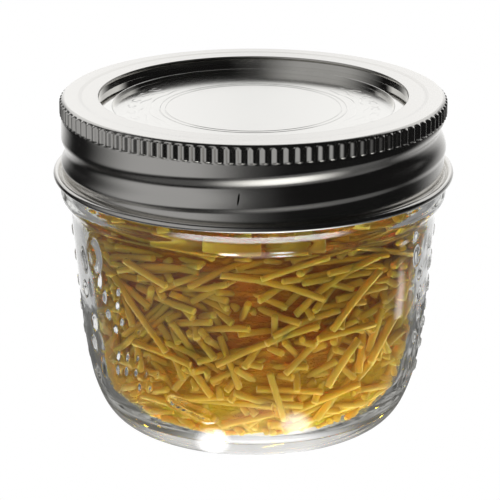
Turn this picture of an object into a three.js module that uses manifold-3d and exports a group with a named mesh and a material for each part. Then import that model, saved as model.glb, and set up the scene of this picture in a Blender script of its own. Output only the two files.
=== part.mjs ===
// A small squat jar of clear pressed glass, filled with short dry noodles and closed by a flat metal
// lid that a screw band with a knurled rim holds down on the mouth.
// Millimetres, +Z up. The origin is the centre of the ring that the jar stands on.

import * as THREE from "three";
import { mergeVertices } from "three/addons/utils/BufferGeometryUtils.js";
import Module from "manifold-3d";

// ---- Driving dimensions -------------------------------------------------------------------------

const TOTAL_HEIGHT = 60.9; // standing ring to the top face of the band
const AROUND = 36; // columns in every turned surface
const CLEARANCE = 0.3; // gap kept between pieces that touch

// Screw band: one sheet, rolled from the flat flange down to the bead at its foot
const SHEET = 0.45; // thickness of the band and of the lid
const FLANGE_INNER_RADIUS = 28.4;
const FLANGE_CREASE_RADIUS = 31.8; // the flange dips a little inside this circle
const FLANGE_DIP = 0.12;
const BAND_RADIUS = 35.4; // outer radius of the plain wall
const BAND_EDGE_ROUND = 0.65; // round between the flange and the wall
const BAND_EDGE_ARC = [30, 90]; // the part of that round above the knurl, in degrees
const BEAD_OUTER_RADIUS = 37.0;
const BEAD_THICKNESS = 1.2; // diameter of the rolled edge
const BEAD_HEIGHT = 46.6; // height of the bead's centre
const BEAD_ARC = [-120, 90]; // how far the sheet is rolled round it, in degrees
const WALL_FOOT_RISE = 0.3; // plain wall starts this far above the bead
const BEAD_CREASE = 0.1; // size of the crease between the bead and the wall
const CREASE_WIDTH = 0.5; // width of the step down inside the crease of the flange
const WALL_ROWS = 10;

// Knurl around the top of the band
const KNURL_RIBS = 112;
const KNURL_BOTTOM = 57.7;
const KNURL_TOP = 60.2;
const KNURL_STEP = [0.3, 0.2]; // the wall steps in from this far below the ribs to this far above their foot
const KNURL_CREST_RADIUS = 35.5;
const KNURL_ROOT_RADIUS = 34.9;
const KNURL_BITE = 0.25; // how deep the ribs are rooted in the wall behind them

// Screw thread: a rolled groove in the band, and a glass ridge on the neck that it runs under
const THREAD_PITCH = 5.08;
const GROOVE_START_HEIGHT = 49.7; // the groove's centre line where it starts, at the front
const GROOVE_DEPTH = 0.95;
const GROOVE_HALF_WIDTH = 1.35;
const GROOVE_TURNS = [-0.04, 1.32]; // from the front, counted anticlockwise seen from above
const RIDGE_ABOVE_GROOVE = 2.35;
const RIDGE_HEIGHT = 1.4;
const RIDGE_HALF_WIDTH = 1.1;
const RIDGE_TURNS = [-0.1, 1.05];
const THREAD_FADE = 0.1; // turns over which a groove or ridge runs out

// Lid: a pressed disc whose panel is sunk below its rim
const LID_RADIUS = 33.9;
const PANEL_WALL_RADIUS = 28.75; // top of the wall around the panel
const PANEL_WALL_FOOT_RADIUS = 28.7;
const PANEL_RING_DEPTH = 2.45; // flange top to the flat ring around the panel
const PANEL_DISH_DEPTH = 0.4; // ring to the middle of the panel
const PANEL_RING_INNER_RADIUS = 26.0;
const PANEL_DISH_RADIUS = 25.2;
const PANEL_EDGE = 0.4; // bevel at the top of the wall

// Glass jar
const STANDING_RING_RADII = [24.2, 25.8];
const PUSH_UP = 1.2; // height of the hollow under the base
const PUSH_UP_SLOPE = 2.6; // width of its sloping side
const HEEL_CONTROLS = [[28.2, 0.2], [29.6, 3.4]]; // bend the curve from the standing ring to the heel's top
const HEEL_TOP = [30.8, 7.6]; // radius and height where the heel meets the side
const SIDE_FOOT_CONTROL = [31.7, 12.0];
const SIDE_LOW = [32.3, 17.0];
const SIDE_TOP = [33.9, 37.8];
const SHOULDER_RADIUS = 35.8; // the bulge under the band
const SHOULDER_HEIGHTS = [42.2, 44.4];
const SHOULDER_CONTROLS = [[34.1, 40.0], [35.3, 40.6]];
const SHOULDER_TOP = [0.9, 0.45]; // how far in, and how far below the foot of the neck, it turns over
const NECK_RADIUS = 32.7;
const NECK_FOOT = 45.9;
const NECK_ROWS = 12;
const MOUTH_RADIUS = 30.0;
const RIM_ROUND = 1.4;
const WALL = 2.6; // glass thickness of the side
const INNER_NECK_FOOT = 46.8; // where the inside starts to widen below the mouth
const INNER_SHOULDER = [32.8, 42.8]; // radius and height of the widest place inside
const INNER_SHOULDER_CONTROLS = [[30.0, 45.3], [32.8, 44.9]];
const FLOOR_HEIGHT = 3.2; // inside floor above the standing ring
const INNER_HEEL_RADIUS = 25.0; // where the flat floor ends
const INNER_HEEL_TOP = 9.5;
const INNER_HEEL_CONTROL = [28.2, 4.6];

// Noodle fill
const FILL_TOP = 51.0;
const FILL_RIM_DROP = 0.8; // the top of the fill is a little lower at the glass
const FILL_SIDE_BUMPS = 1.3; // depth of the hollows in its side
const FILL_TOP_BUMPS = 0.9;
const FILL_LEVEL_RADIUS = 13; // the humps of the top fade out inside this circle
const FILL_SIDE_HEIGHTS = [4.8, 6.6, 9.5, 14, 19, 24, 29, 34, 38, 42.6, 44.3, 45.5, INNER_NECK_FOOT];
const FILL_TOP_RADII = [25, 19, 13, 7];
const FILL_SIDE_GAP = 0.1; // further gap to the glass where it curves
const FILL_FLOOR_INSET = 1; // the flat bottom of the fill ends this far inside the glass floor's edge
const FILL_WAVES = [[7, 0.55, 1], [11, -0.71, 2.3], [3, 0.93, 4.1]]; // waves a turn, radians a millimetre, offset
const SIDE_SEED = 0.6;
const TOP_SEED = 1.7;
const FILL_AROUND = 28;

// ---- Profiles: lists of [radius, height] ---------------------------------------------------------

// Points of an elliptical arc; angles in degrees, 0 outwards and 90 up.
function arc(centreRadius, centreHeight, radialSize, verticalSize, from, to, steps) {
  return Array.from({ length: steps + 1 }, (_, i) => {
    const a = THREE.MathUtils.degToRad(from + ((to - from) * i) / steps);
    return [centreRadius + radialSize * Math.cos(a), centreHeight + verticalSize * Math.sin(a)];
  });
}

// Points of a Bezier curve through its first and last control point.
function curve(controls, steps) {
  const points = controls.map(([r, z]) => new THREE.Vector2(r, z));
  const path =
    points.length === 3 ? new THREE.QuadraticBezierCurve(...points) : new THREE.CubicBezierCurve(...points);
  return path.getPoints(steps).map((p) => [p.x, p.y]);
}

// Evenly spaced points between two ends, without the ends.
function between([r0, z0], [r1, z1], steps) {
  return Array.from({ length: steps - 1 }, (_, i) => {
    const t = (i + 1) / steps;
    return [r0 + (r1 - r0) * t, z0 + (z1 - z0) * t];
  });
}

// Radius of a profile at a height, along straight lines between its points.
function radiusAt(profile, height) {
  for (let i = 1; i < profile.length; i++) {
    const [r0, z0] = profile[i - 1];
    const [r1, z1] = profile[i];
    if (z0 !== z1 && (height - z0) * (height - z1) <= 0) return r0 + ((r1 - r0) * (height - z0)) / (z1 - z0);
  }
  throw new Error("no radius at height " + height);
}

// ---- Surfaces -----------------------------------------------------------------------------------

// A solid turned about the Z axis. move(angle, radius, height) may shift each point to a new
// [radius, height]; the angle runs from the front (-Y), anticlockwise seen from above, in turns.
function turned(profile, columns, move) {
  const points = profile.map(([r, z]) => new THREE.Vector2(r, z));
  const geometry = new THREE.LatheGeometry(points, columns).rotateX(Math.PI / 2);
  const position = geometry.getAttribute("position");
  for (let i = 0; move && i < position.count; i++) {
    const x = position.getX(i);
    const y = position.getY(i);
    const angle = Math.round((Math.atan2(x, -y) / (2 * Math.PI)) * 1e6) / 1e6;
    const radius = Math.hypot(x, y);
    if (radius < 1e-6) continue;
    const [r, z] = move((angle + 1) % 1, radius, position.getZ(i));
    position.setXYZ(i, (x * r) / radius, (y * r) / radius, z);
  }
  return geometry;
}

const wasm = await Module();
wasm.setup();

function toManifold(geometry) {
  const bare = geometry.clone();
  bare.deleteAttribute("normal");
  bare.deleteAttribute("uv");
  const merged = mergeVertices(bare, 1e-4);
  return new wasm.Manifold(
    new wasm.Mesh({
      numProp: 3,
      vertProperties: merged.getAttribute("position").array,
      triVerts: new Uint32Array(merged.index.array),
    }),
  );
}

function toGeometry(manifold) {
  const mesh = manifold.getMesh();
  const geometry = new THREE.BufferGeometry();
  geometry.setAttribute("position", new THREE.BufferAttribute(new Float32Array(mesh.vertProperties), 3));
  geometry.setIndex(new THREE.BufferAttribute(new Uint32Array(mesh.triVerts), 1));
  geometry.computeVertexNormals();
  return geometry;
}

// Share (0 to 1) of a helical groove or ridge at a place: full on its centre line, nothing at its
// sides and beyond its ends.
function threadShare(angle, height, startHeight, halfWidth, [first, last]) {
  const turn = Math.round((height - startHeight) / THREAD_PITCH - angle);
  const along = angle + turn;
  const across = (height - startHeight - along * THREAD_PITCH) / halfWidth;
  if (Math.abs(across) >= 1) return 0;
  const inFromEnd = Math.min(along - first, last - along) / THREAD_FADE;
  return THREE.MathUtils.smoothstep(inFromEnd, 0, 1) * 0.5 * (1 + Math.cos(Math.PI * across));
}

const grooveShare = (angle, height) =>
  threadShare(angle, height, GROOVE_START_HEIGHT, GROOVE_HALF_WIDTH, GROOVE_TURNS);
const ridgeShare = (angle, height) =>
  threadShare(angle, height, GROOVE_START_HEIGHT + RIDGE_ABOVE_GROOVE, RIDGE_HALF_WIDTH, RIDGE_TURNS);

// ---- Glass jar ----------------------------------------------------------------------------------

const RIM_TOP = TOTAL_HEIGHT - 2 * SHEET - 2 * CLEARANCE - FLANGE_DIP;
const RIM_FOOT = RIM_TOP - RIM_ROUND;
const RIM_CENTRE = (MOUTH_RADIUS + NECK_RADIUS) / 2;

const outerProfile = [
  [0, PUSH_UP],
  [STANDING_RING_RADII[0] - PUSH_UP_SLOPE, PUSH_UP],
  [STANDING_RING_RADII[0], 0],
  ...curve([[STANDING_RING_RADII[1], 0], ...HEEL_CONTROLS, HEEL_TOP], 5),
  ...curve([HEEL_TOP, SIDE_FOOT_CONTROL, SIDE_LOW], 3).slice(1),
  ...between(SIDE_LOW, SIDE_TOP, 3),
  ...curve([SIDE_TOP, ...SHOULDER_CONTROLS, [SHOULDER_RADIUS, SHOULDER_HEIGHTS[0]]], 4),
  [SHOULDER_RADIUS, SHOULDER_HEIGHTS[1]],
  [SHOULDER_RADIUS - SHOULDER_TOP[0], NECK_FOOT - SHOULDER_TOP[1]],
  [NECK_RADIUS, NECK_FOOT],
  ...between([NECK_RADIUS, NECK_FOOT], [NECK_RADIUS, RIM_FOOT], NECK_ROWS),
];

const innerProfile = [
  [MOUTH_RADIUS, RIM_FOOT],
  ...curve([[MOUTH_RADIUS, INNER_NECK_FOOT], ...INNER_SHOULDER_CONTROLS, INNER_SHOULDER], 3),
  [SIDE_TOP[0] - WALL, SIDE_TOP[1]],
  [SIDE_LOW[0] - WALL, SIDE_LOW[1]],
  ...curve(
    [
      [radiusAt(outerProfile, INNER_HEEL_TOP) - WALL, INNER_HEEL_TOP],
      INNER_HEEL_CONTROL,
      [INNER_HEEL_RADIUS, FLOOR_HEIGHT],
    ],
    4,
  ),
  [0, FLOOR_HEIGHT],
];

function jarGeometry() {
  const rim = arc(RIM_CENTRE, RIM_FOOT, (NECK_RADIUS - MOUTH_RADIUS) / 2, RIM_ROUND, 0, 180, 5);
  const profile = [...outerProfile, ...rim, ...innerProfile.slice(1)];
  return turned(profile, AROUND, (angle, radius, height) => {
    const onNeck = Math.abs(radius - NECK_RADIUS) < 1e-3;
    return [radius + (onNeck ? RIDGE_HEIGHT * ridgeShare(angle, height) : 0), height];
  });
}

// ---- Noodle fill --------------------------------------------------------------------------------

// An uneven value from 0 to 1, for the hollows and humps between noodles.
function uneven(angle, height, seed) {
  const a = 2 * Math.PI * angle;
  const waves = FILL_WAVES.map(([turns, rise, offset]) => Math.sin(turns * a + rise * height + offset * seed));
  return 0.5 + waves.reduce((sum, wave) => sum + wave, 0) / (2 * waves.length);
}

function noodleGeometry() {
  const fillRadius = (height) => radiusAt(innerProfile, height) - CLEARANCE;
  const bottom = FLOOR_HEIGHT + CLEARANCE;
  const shoulder = FILL_TOP - FILL_RIM_DROP;
  const profile = [
    [0, bottom],
    [INNER_HEEL_RADIUS - FILL_FLOOR_INSET, bottom],
    ...FILL_SIDE_HEIGHTS.map((height) => [fillRadius(height) - FILL_SIDE_GAP, height]),
    [fillRadius(shoulder), shoulder],
    ...FILL_TOP_RADII.map((radius) => [radius, FILL_TOP]),
    [0, FILL_TOP],
  ];
  return turned(profile, FILL_AROUND, (angle, radius, height) => {
    if (height >= shoulder) {
      const spread = Math.min(1, radius / FILL_LEVEL_RADIUS);
      const hump = FILL_TOP_BUMPS * (2 * uneven(angle, radius, TOP_SEED) - 1) * spread;
      return [radius, height + hump];
    }
    const onSide = height > bottom;
    return [radius - (onSide ? FILL_SIDE_BUMPS * uneven(angle, height, SIDE_SEED) : 0), height];
  });
}

// ---- Lid ----------------------------------------------------------------------------------------

const LID_RIM_TOP = TOTAL_HEIGHT - FLANGE_DIP - SHEET - CLEARANCE;
const PANEL_RING = TOTAL_HEIGHT - PANEL_RING_DEPTH;
const PANEL = PANEL_RING - PANEL_DISH_DEPTH;

function lidGeometry() {
  const top = [
    [LID_RADIUS, LID_RIM_TOP],
    [PANEL_WALL_RADIUS + PANEL_EDGE, LID_RIM_TOP],
    [PANEL_WALL_RADIUS, LID_RIM_TOP - PANEL_EDGE],
    [PANEL_WALL_FOOT_RADIUS, PANEL_RING],
    [PANEL_RING_INNER_RADIUS, PANEL_RING],
    [PANEL_DISH_RADIUS, PANEL],
    [0, PANEL],
  ];
  const wallCount = 4; // the rim and wall points, whose underside lies outwards as well as down
  const underside = top.map(([r, z], i) => [i > 0 && i < wallCount ? r + SHEET : r, z - SHEET]);
  return turned([...underside.reverse(), ...top], AROUND);
}

// ---- Screw band ---------------------------------------------------------------------------------

function bandShell() {
  const inner = BAND_RADIUS - SHEET;
  const wallFoot = BEAD_HEIGHT + BEAD_THICKNESS / 2;
  const beadCentre = BEAD_OUTER_RADIUS - BEAD_THICKNESS / 2;
  const edgeFoot = TOTAL_HEIGHT - BAND_EDGE_ROUND;
  const wallTop = KNURL_BOTTOM - KNURL_STEP[0];
  const wall = (offset) => [
    [KNURL_ROOT_RADIUS - offset, edgeFoot],
    [KNURL_ROOT_RADIUS - offset, KNURL_BOTTOM + KNURL_STEP[1]],
    [BAND_RADIUS - offset, wallTop],
    ...between([BAND_RADIUS - offset, wallTop], [BAND_RADIUS - offset, wallFoot + WALL_FOOT_RISE], WALL_ROWS),
  ];
  const profile = [
    [FLANGE_INNER_RADIUS, TOTAL_HEIGHT - FLANGE_DIP - SHEET],
    [KNURL_ROOT_RADIUS - BAND_EDGE_ROUND, TOTAL_HEIGHT - FLANGE_DIP - SHEET],
    ...wall(SHEET),
    [inner, BEAD_HEIGHT - BEAD_CREASE],
    ...arc(beadCentre, BEAD_HEIGHT, BEAD_THICKNESS / 2, BEAD_THICKNESS / 2, ...BEAD_ARC, 5),
    [BAND_RADIUS + BEAD_CREASE, wallFoot + BEAD_CREASE / 2],
    ...wall(0).reverse(),
    ...arc(KNURL_ROOT_RADIUS - BAND_EDGE_ROUND, edgeFoot, BAND_EDGE_ROUND, BAND_EDGE_ROUND, ...BAND_EDGE_ARC, 2),
    [FLANGE_CREASE_RADIUS, TOTAL_HEIGHT],
    [FLANGE_CREASE_RADIUS - CREASE_WIDTH, TOTAL_HEIGHT - FLANGE_DIP],
    [FLANGE_INNER_RADIUS, TOTAL_HEIGHT - FLANGE_DIP],
    [FLANGE_INNER_RADIUS, TOTAL_HEIGHT - FLANGE_DIP - SHEET],
  ];
  return turned(profile, AROUND, (angle, radius, height) => {
    const onWall = radius > inner - 0.01 && radius < BAND_RADIUS + 0.01 && height < KNURL_BOTTOM;
    return [radius - (onWall ? GROOVE_DEPTH * grooveShare(angle, height) : 0), height];
  });
}

function knurlRing() {
  const corners = Array.from({ length: 2 * KNURL_RIBS }, (_, i) => {
    const radius = i % 2 ? KNURL_CREST_RADIUS : KNURL_ROOT_RADIUS;
    return new THREE.Vector2(radius, 0).rotateAround(new THREE.Vector2(), (i * Math.PI) / KNURL_RIBS);
  });
  const shape = new THREE.Shape(corners);
  const hole = new THREE.Path();
  hole.absarc(0, 0, KNURL_ROOT_RADIUS - KNURL_BITE, 0, 2 * Math.PI, true);
  shape.holes.push(hole);
  const depth = KNURL_TOP - KNURL_BOTTOM;
  return new THREE.ExtrudeGeometry(shape, { depth, bevelEnabled: false, steps: 1, curveSegments: AROUND / 2 })
    .translate(0, 0, KNURL_BOTTOM);
}

const bandGeometry = () => toGeometry(toManifold(bandShell()).add(toManifold(knurlRing())));

// ---- Scene graph --------------------------------------------------------------------------------

const CLEAR_GLASS = { color: 0xe8ece6, roughness: 0.05, metalness: 0, transparent: true, opacity: 0.35 };
const DRY_PASTA = { color: 0xc9932f, roughness: 0.65, metalness: 0 };
const LID_METAL = { color: 0xdedcd6, roughness: 0.35, metalness: 0.9 };
const BAND_METAL = { color: 0xb9b6ae, roughness: 0.28, metalness: 1 };

function piece(name, geometry, look) {
  const mesh = new THREE.Mesh(geometry, new THREE.MeshStandardMaterial(look));
  mesh.name = name;
  return mesh;
}

const part = new THREE.Group();
part.add(
  piece("jar", jarGeometry(), CLEAR_GLASS),
  piece("noodles", noodleGeometry(), DRY_PASTA),
  piece("lid", lidGeometry(), LID_METAL),
  piece("screw_band", bandGeometry(), BAND_METAL),
);

export default part;
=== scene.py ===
"""A small squat jar of clear pressed glass, filled with short dry noodles and closed by a flat metal lid
under a knurled screw band. Each piece is one operator in the sidebar's Noodle Jar tab; lengths are metres."""

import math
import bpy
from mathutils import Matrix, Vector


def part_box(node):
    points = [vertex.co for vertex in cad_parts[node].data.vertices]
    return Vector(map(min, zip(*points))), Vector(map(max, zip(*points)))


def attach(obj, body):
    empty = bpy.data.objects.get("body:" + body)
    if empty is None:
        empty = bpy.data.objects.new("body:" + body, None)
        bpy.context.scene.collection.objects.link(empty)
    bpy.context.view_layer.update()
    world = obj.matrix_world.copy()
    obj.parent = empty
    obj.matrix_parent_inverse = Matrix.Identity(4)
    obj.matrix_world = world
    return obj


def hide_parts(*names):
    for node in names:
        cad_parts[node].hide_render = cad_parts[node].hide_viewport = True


bl_info = {
    "name": "Noodle Jar",
    "version": (1, 0, 0),
    "blender": (4, 5, 0),
    "location": "View3D > Sidebar > Noodle Jar",
    "description": "Builds a glass jar of short dry noodles with its lid, screw band and studio stage",
    "category": "Object",
}

import bpy
import numpy as np
from bpy.props import FloatProperty, FloatVectorProperty, IntProperty, PointerProperty
from mathutils import Euler

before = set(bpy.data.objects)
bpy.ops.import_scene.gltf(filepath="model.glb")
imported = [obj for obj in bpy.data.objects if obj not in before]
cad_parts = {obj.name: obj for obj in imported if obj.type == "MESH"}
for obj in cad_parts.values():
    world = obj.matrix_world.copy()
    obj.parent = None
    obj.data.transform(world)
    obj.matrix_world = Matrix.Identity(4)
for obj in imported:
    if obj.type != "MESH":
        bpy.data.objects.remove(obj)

# ---- Places taken from the frame ----

MM = 0.001
TURN = 2.0 * math.pi

_, JAR_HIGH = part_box("jar")
FILL_LOW, FILL_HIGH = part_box("noodles")
LID_LOW, LID_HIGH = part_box("lid")
BAND_LOW, BAND_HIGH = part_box("screw_band")

TOP = BAND_HIGH.z  # top face of the band
BEAD_RADIUS = BAND_HIGH.x  # outside of the rolled foot bead
BEAD_BOTTOM = BAND_LOW.z
RIM_TOP = JAR_HIGH.z  # glass rim under the lid
SHOULDER_RADIUS = JAR_HIGH.x
LID_RADIUS = LID_HIGH.x
PANEL_UNDERSIDE = LID_LOW.z
FILL_BOTTOM = FILL_LOW.z
FILL_TOP = FILL_HIGH.z


# ---- Settings ----


def length(name, description, default):
    return FloatProperty(name=name, description=description, default=default, min=0.0, unit="LENGTH",
                         subtype="DISTANCE", precision=5)


def colour(name, description, default):
    return FloatVectorProperty(name=name, description=description, default=default, size=3, min=0.0,
                               max=1.0, subtype="COLOR")


def factor(name, description, default):
    return FloatProperty(name=name, description=description, default=default, min=0.0, max=1.0,
                         subtype="FACTOR")


class GlassSettings(bpy.types.PropertyGroup):
    """Sizes and colour of the jar."""

    wall: length("Wall", "Thickness of the glass side", 2.0 * MM)
    floor: length("Floor", "Height of the inside floor above the table", 3.2 * MM)
    relief: length("Relief", "Height of the pressed ovals and dashes", 0.42 * MM)
    waviness: length("Waviness", "Unevenness of the pressed inner wall", 0.06 * MM)
    tint: colour("Tint", "Colour of the glass", (0.985, 0.99, 0.98))


class BandSettings(bpy.types.PropertyGroup):
    """Sizes and colour of the screw band."""

    sheet: length("Sheet", "Thickness of the rolled sheet", 0.4 * MM)
    ribs: IntProperty(name="Ribs", description="Ribs of the knurl round the rim", default=112, min=8)
    rib_height: length("Rib height", "Height of the ribs of the knurl", 0.55 * MM)
    rib_foot: length("Rib foot", "Depth of the slots between the ribs under the plain wall", 0.28 * MM)
    groove_depth: length("Groove depth", "Depth of the rolled screw groove", 0.95 * MM)
    groove_height: length("Groove height", "Height of the groove's upper side at the front", 54.3 * MM)
    pitch: length("Pitch", "Rise of the screw groove in a turn", 8.9 * MM)
    lip: length("Lip", "How far the lip below the groove stands out", 0.25 * MM)
    metal: colour("Metal", "Colour of the plated sheet", (0.80, 0.785, 0.755))
    roughness: factor("Roughness", "Roughness of the plated sheet", 0.20)


class LidSettings(bpy.types.PropertyGroup):
    """Sizes and colour of the lid."""

    sheet: length("Sheet", "Thickness of the pressed sheet", 0.4 * MM)
    stamp_depth: length("Stamp depth", "Depth of the rings and dashes stamped in the panel", 0.09 * MM)
    metal: colour("Metal", "Colour of the plated sheet", (0.84, 0.83, 0.80))
    roughness: factor("Roughness", "Roughness of the plated sheet", 0.14)


class NoodleSettings(bpy.types.PropertyGroup):
    """Sizes, number and colours of the noodles."""

    thickness: length("Thickness", "Diameter of a noodle", 1.28 * MM)
    shortest: length("Shortest", "Length of the shortest noodle", 8.0 * MM)
    longest: length("Longest", "Length of the longest noodle", 21.0 * MM)
    layer: length("Layer", "Depth of the loose noodles over the core", 4.6 * MM)
    count: IntProperty(name="Count", description="Number of separate noodles", default=1900, min=10)
    seed: IntProperty(name="Seed", description="Start of the random numbers", default=7)
    pale: colour("Pale", "Colour of the palest noodles", (0.98, 0.63, 0.085))
    deep: colour("Deep", "Colour of the darkest noodles", (0.97, 0.55, 0.046))
    # Painted light: the packed core's colour near the floor, lighter than higher up, as if lit through the
    # base.
    painted_low_light: colour("Glowing", "Colour of the packed noodles near the floor", (0.98, 0.62, 0.03))
    # Painted glow: the faint light that the lowest loose noodles emit.
    painted_glow: colour("Glow", "Light that the lowest loose noodles pass on", (0.075, 0.04, 0.0))


class StageSettings(bpy.types.PropertyGroup):
    """Floor, light and camera."""

    floor_radius: length("Floor radius", "Radius of the floor under the jar", 72 * MM)
    # Painted shade: the dark colour of the floor under the jar, as the glass shows it.
    shaded_floor_colour: colour("Floor colour", "Colour of the floor as the glass shows it", (0.14, 0.135, 0.12))
    camera_distance: length("Camera distance", "Level distance from the camera to the jar's axis", 326.7 * MM)
    camera_height: length("Camera height", "Height of the camera above the table", 146.1 * MM)
    focal_length: FloatProperty(name="Focal length", description="Focal length of the lens in millimetres",
                                default=132.1, min=1.0)


class NoodleJarSettings(bpy.types.PropertyGroup):
    """All settings of the jar."""

    glass: PointerProperty(type=GlassSettings)
    band: PointerProperty(type=BandSettings)
    lid: PointerProperty(type=LidSettings)
    noodles: PointerProperty(type=NoodleSettings)
    stage: PointerProperty(type=StageSettings)


# ---- Mesh tools ----


def smooth(value, low, high):
    """0 below low, 1 above high and an S-curve between."""
    t = np.clip((np.asarray(value, float) - low) / (high - low), 0.0, 1.0)
    return t * t * (3.0 - 2.0 * t)


def elliptic(centre, size, start, end, steps):
    """Points [radius, height] of an elliptical arc; degrees, 0 outwards and 90 up."""
    angles = np.radians(np.linspace(start, end, steps + 1))
    return [(centre[0] + size[0] * math.cos(a), centre[1] + size[1] * math.sin(a)) for a in angles]


def bezier(controls, steps):
    """Points of a Bezier curve of any order through its first and last control."""
    order = len(controls) - 1
    points = []
    for t in np.linspace(0.0, 1.0, steps + 1):
        weights = [math.comb(order, k) * t**k * (1 - t) ** (order - k) for k in range(order + 1)]
        points.append(tuple(sum(w * c[axis] for w, c in zip(weights, controls)) for axis in (0, 1)))
    return points


def straight(start, end, steps):
    """Evenly spaced points after start, up to and with end."""
    share = np.arange(1, steps + 1) / steps
    return [(start[0] + (end[0] - start[0]) * t, start[1] + (end[1] - start[1]) * t) for t in share]


def supported(profile, gap=0.05 * MM):
    """The profile with a point added close to both ends of each long straight, so that it shades flat."""
    points = [profile[0]]
    for start, end in zip(profile[:-1], profile[1:]):
        reach = math.hypot(end[0] - start[0], end[1] - start[1])
        if reach > 6 * gap:
            for share in (gap / reach, 1 - gap / reach):
                across = start[0] + (end[0] - start[0]) * share
                up = start[1] + (end[1] - start[1]) * share
                points.append((across, up))
        points.append(end)
    return points


def in_metres(*points):
    """Profile points that are given in millimetres."""
    return [(radius * MM, height * MM) for radius, height in points]


def side_of(profile):
    """Heights and radii of a profile, sorted by height."""
    points = np.array(profile)
    order = np.argsort(points[:, 1], kind="stable")
    return points[order, 1], points[order, 0]


def radius_at(profile, height):
    """Radius of the side of a profile at a height."""
    return float(np.interp(height, *side_of(profile)))


def wave(angle, height, turns, rise, start):
    """A slanted wave round the jar: waves in a turn, radians per millimetre of height, and start."""
    return np.sin(turns * angle + rise * (height / MM) + start)


def make_object(name, vertices, faces, shade_smooth=True):
    mesh = bpy.data.meshes.new(name)
    mesh.from_pydata(vertices, [], faces)
    mesh.validate()
    mesh.polygons.foreach_set("use_smooth", [shade_smooth] * len(mesh.polygons))
    mesh.update()
    made = bpy.data.objects.new(name, mesh)
    bpy.context.scene.collection.objects.link(made)
    return made


def turned(name, profile, columns, move=None, closed=False, fine=None, every=1):
    """A solid turned about the jar's axis from profile points [radius, height].

    move(angle, radius, height) may shift the grid: arrays in, (radius, height) out. The angle runs from the
    front (-Y), anticlockwise from above, in radians. columns is a number or the angles themselves.
    A closed profile makes a ring; otherwise the first and last point lie on the axis.
    Rows for which fine(radius, height) is false keep one column in every so many.
    """
    profile = np.array(profile)
    ends = [] if closed else [profile[0], profile[-1]]
    rows = profile if closed else profile[1:-1]
    if isinstance(columns, int):
        columns = np.arange(columns) * TURN / columns
    angle = columns[None, :]
    columns = angle.size
    radius = np.repeat(rows[:, :1], columns, axis=1)
    height = np.repeat(rows[:, 1:], columns, axis=1)
    if move:
        radius, height = move(np.broadcast_to(angle, radius.shape), radius, height)
    grid = np.stack([radius * np.sin(angle), -radius * np.cos(angle), height], axis=-1)
    count = len(rows)
    steps = [1 if fine is None or fine(*row) else every for row in rows]
    used = np.zeros(radius.shape, bool)
    for row, step in enumerate(steps):
        used[row, ::step] = True
    number = (np.cumsum(used.ravel()) - 1).reshape(used.shape)
    number = np.concatenate([number, number[:, :1]], axis=1).tolist()
    vertices = grid[used].tolist() + [(0.0, 0.0, z) for _, z in ends]
    faces = []
    for row in range(count if closed else count - 1):
        other = (row + 1) % count
        stride = max(steps[row], steps[other])
        for j in range(0, columns, stride):
            near = number[row][j : j + stride + 1 : steps[row]]
            far = number[other][j : j + stride + 1 : steps[other]]
            faces.append(tuple(near + far[::-1]))
    if not closed:
        for row, tip, order in ((0, len(vertices) - 2, -1), (count - 1, len(vertices) - 1, 1)):
            rim = number[row][:: steps[row]]
            faces += [(tip, *pair[::order]) for pair in zip(rim[:-1], rim[1:])]
    return make_object(name, vertices, faces)


def finished(piece, material, node):
    """The piece gets its material, rides on the one body and replaces its plain solid."""
    piece.data.materials.append(material)
    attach(piece, "root")
    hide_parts(node)
    return piece


# ---- Material tools ----


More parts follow.
